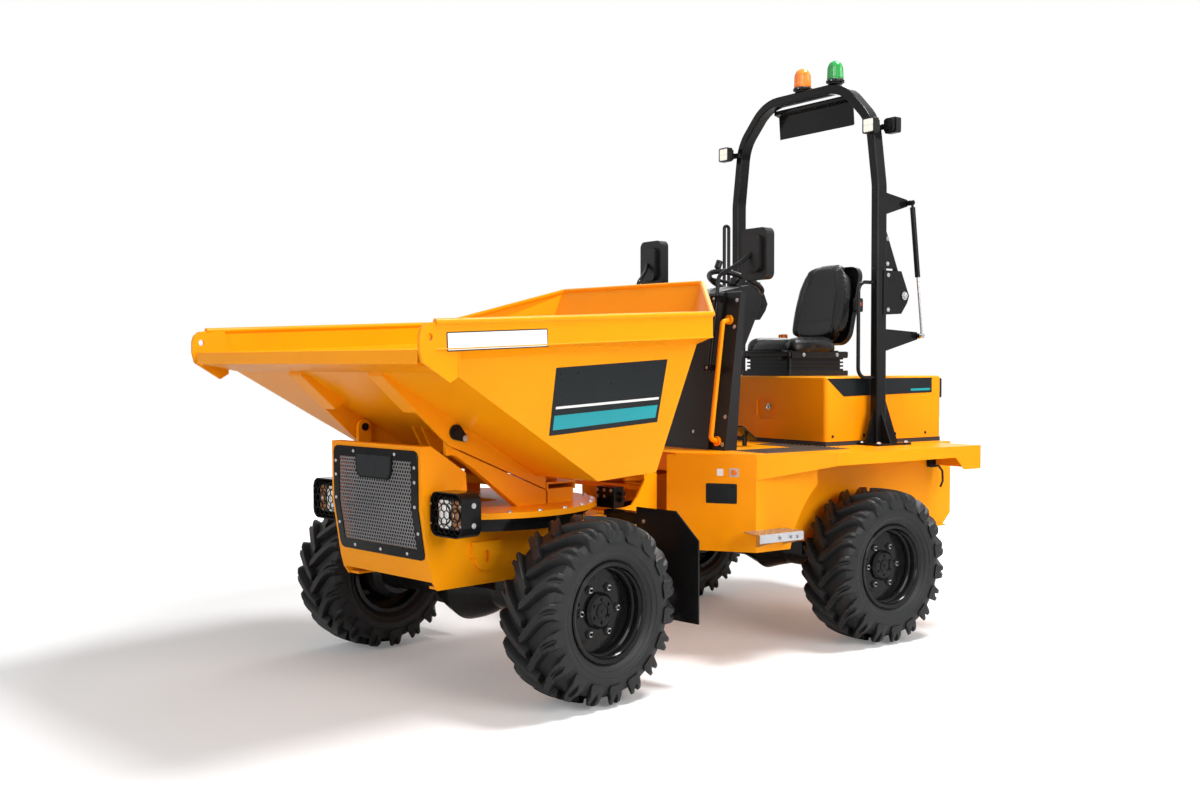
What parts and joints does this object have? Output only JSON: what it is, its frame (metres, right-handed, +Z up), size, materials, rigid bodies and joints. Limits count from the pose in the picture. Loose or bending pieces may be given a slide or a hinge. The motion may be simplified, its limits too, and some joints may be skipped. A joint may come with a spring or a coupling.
{
  "type": "articulated site dumper",
  "caption": "Articulated battery site dumper: front tipping skip with flared rim, open driving position behind a screen, seat on a hinged battery cover, folding roll hoop and beacons.",
  "frame": {"origin": "under the middle of the whole parked machine, on the ground", "axes": "+X towards the skip along the rear frame, +Y to the machine's left, +Z up; the front frame is parked turned 9.2 degrees to the left about the pivot"},
  "size_m": [3.8394, 2.0152, 3.0109],
  "materials": {
    "yellow_paint": "gloss",
    "black_paint": "gloss",
    "grey_paint": "satin",
    "black_plastic": "matte",
    "seat_vinyl": "matte",
    "tyre_rubber": "matte",
    "seal_rubber": "matte",
    "steel": "satin",
    "amber_lens": "gloss",
    "green_lens": "gloss",
    "lamp": "gloss",
    "battery_case": "matte",
    "belt_parts": "gloss"
  },
  "bodies": {
    "rear_frame": {"rear_chassis": "yellow_paint", "footplate": "yellow_paint", "access_steps": "black_paint", "traction_battery": "battery_case", "cover_seal": "seal_rubber", "rear_axle": "black_paint", "tow_hitch": "black_paint", "pivot_pins": "steel", "front_screen": "black_plastic", "screen_posts": "grey_paint", "dash_console": "black_plastic", "steering_column": "black_plastic", "grab_rails": "yellow_paint", "mirror_arms": "black_paint", "mirrors": "black_plastic", "rops_lower_posts": "black_paint", "entry_handles": "black_paint"},
    "power_cover": {"power_cover": "yellow_paint", "tail_lights": "black_plastic", "seat_suspension": "black_plastic", "seat_cushion": "seat_vinyl", "seat_backrest": "seat_vinyl", "seat_belt_parts": "belt_parts"},
    "rops_hoop": {"rops_hoop": "black_paint", "header_panel": "black_paint", "amber_beacon": "amber_lens", "green_beacon": "green_lens", "work_lights": "lamp"},
    "rops_strut_barrel": {"rops_strut_barrel": "black_paint"},
    "rops_strut_rod": {"rops_strut_rod": "steel"},
    "steering_wheel": {"steering_wheel": "black_plastic"},
    "front_frame": {"front_chassis": "yellow_paint", "front_grille": "black_paint", "headlight_guards": "black_paint", "headlights": "lamp", "front_mudguards": "black_paint", "front_axle": "black_paint", "mounting_ring": "black_paint", "valve_block": "black_paint", "skip_frame": "yellow_paint"},
    "skip": {"skip": "yellow_paint", "hinge_pins": "steel"},
    "tip_ram_barrel": {"tip_ram_barrel": "black_paint"},
    "tip_ram_rod": {"tip_ram_rod": "steel"},
    "steering_ram_barrel": {"steering_ram_barrel": "black_paint"},
    "steering_ram_rod": {"steering_ram_rod": "steel"},
    "wheel_front_left": {"tyre_front_left": "tyre_rubber", "rim_front_left": "black_paint"},
    "wheel_front_right": {"tyre_front_right": "tyre_rubber", "rim_front_right": "black_paint"},
    "wheel_rear_left": {"tyre_rear_left": "tyre_rubber", "rim_rear_left": "black_paint"},
    "wheel_rear_right": {"tyre_rear_right": "tyre_rubber", "rim_rear_right": "black_paint"}
  },
  "joints": [
    {"name": "steering", "type": "hinge", "parent": "rear_frame", "child": "front_frame", "pos_m": [-0.01374, -0.1226, 0.66], "axis": [0, 0, 1], "range_deg": [-42.2, 23.8]},
    {"name": "skip_tip", "type": "hinge", "parent": "front_frame", "child": "skip", "pos_m": [1.2419, 0.08077, 1.1], "axis": [-0.1599, 0.9871, 0], "range_deg": [0, 58]},
    {"name": "tip_ram_swing", "type": "hinge", "parent": "front_frame", "child": "tip_ram_barrel", "pos_m": [0.82928, 0.01394, 0.6], "axis": [-0.1599, 0.9871, 0], "range_deg": [-12.79, 0]},
    {"name": "tip_ram_stroke", "type": "slide", "parent": "tip_ram_barrel", "child": "tip_ram_rod", "axis": [0.5476, 0.0887, 0.8321], "range_m": [0, 0.17052]},
    {"name": "steering_ram_swing", "type": "hinge", "parent": "rear_frame", "child": "steering_ram_barrel", "pos_m": [-0.32474, -0.2726, 0.64], "axis": [0, 0, 1], "range_deg": [-14.33, 8.27]},
    {"name": "steering_ram_stroke", "type": "slide", "parent": "steering_ram_barrel", "child": "steering_ram_rod", "axis": [1, -0.0093, 0], "range_m": [-0.13192, 0.07614]},
    {"name": "rops_fold", "type": "hinge", "parent": "rear_frame", "child": "rops_hoop", "pos_m": [-1.47474, -0.1226, 1.735], "axis": [0, -1, 0], "range_deg": [0, 90]},
    {"name": "rops_strut_swing", "type": "hinge", "parent": "rops_hoop", "child": "rops_strut_barrel", "pos_m": [-1.50174, 0.4824, 2.223], "axis": [0, -1, 0], "range_deg": [-19.32, 0]},
    {"name": "rops_strut_stroke", "type": "slide", "parent": "rops_strut_barrel", "child": "rops_strut_rod", "axis": [-0.1168, 0, -0.9932], "range_m": [-0.287, 0]},
    {"name": "cover_tilt", "type": "hinge", "parent": "rear_frame", "child": "power_cover", "pos_m": [-1.88474, -0.1226, 0.985], "axis": [0, -1, 0], "range_deg": [0, 45]},
    {"name": "steering_wheel_turn", "type": "hinge", "parent": "rear_frame", "child": "steering_wheel", "pos_m": [-0.80674, -0.1226, 1.806], "axis": [-0.3987, 0, 0.9171], "continuous": true},
    {"name": "wheel_front_left", "type": "hinge", "parent": "front_frame", "child": "wheel_front_left", "pos_m": [0.75824, 0.76525, 0.38], "axis": [-0.1599, 0.9871, 0], "continuous": true},
    {"name": "wheel_front_right", "type": "hinge", "parent": "front_frame", "child": "wheel_front_right", "pos_m": [0.99903, -0.72138, 0.38], "axis": [-0.1599, 0.9871, 0], "continuous": true},
    {"name": "wheel_rear_left", "type": "hinge", "parent": "rear_frame", "child": "wheel_rear_left", "pos_m": [-1.06174, 0.6304, 0.38], "axis": [0, 1, 0], "continuous": true},
    {"name": "wheel_rear_right", "type": "hinge", "parent": "rear_frame", "child": "wheel_rear_right", "pos_m": [-1.06174, -0.8756, 0.38], "axis": [0, 1, 0], "continuous": true}
  ],
  "couplings": [
    {"joint": "tip_ram_swing", "follows": "skip_tip", "ratio": -0.21615},
    {"joint": "tip_ram_stroke", "follows": "skip_tip", "m_per_rad": 0.16514},
    {"joint": "steering_ram_swing", "follows": "steering", "ratio": 0.32938},
    {"joint": "steering_ram_stroke", "follows": "steering", "m_per_rad": 0.17367},
    {"joint": "rops_strut_swing", "follows": "rops_fold", "ratio": -0.21046},
    {"joint": "rops_strut_stroke", "follows": "rops_fold", "m_per_rad": -0.17913}
  ]
}
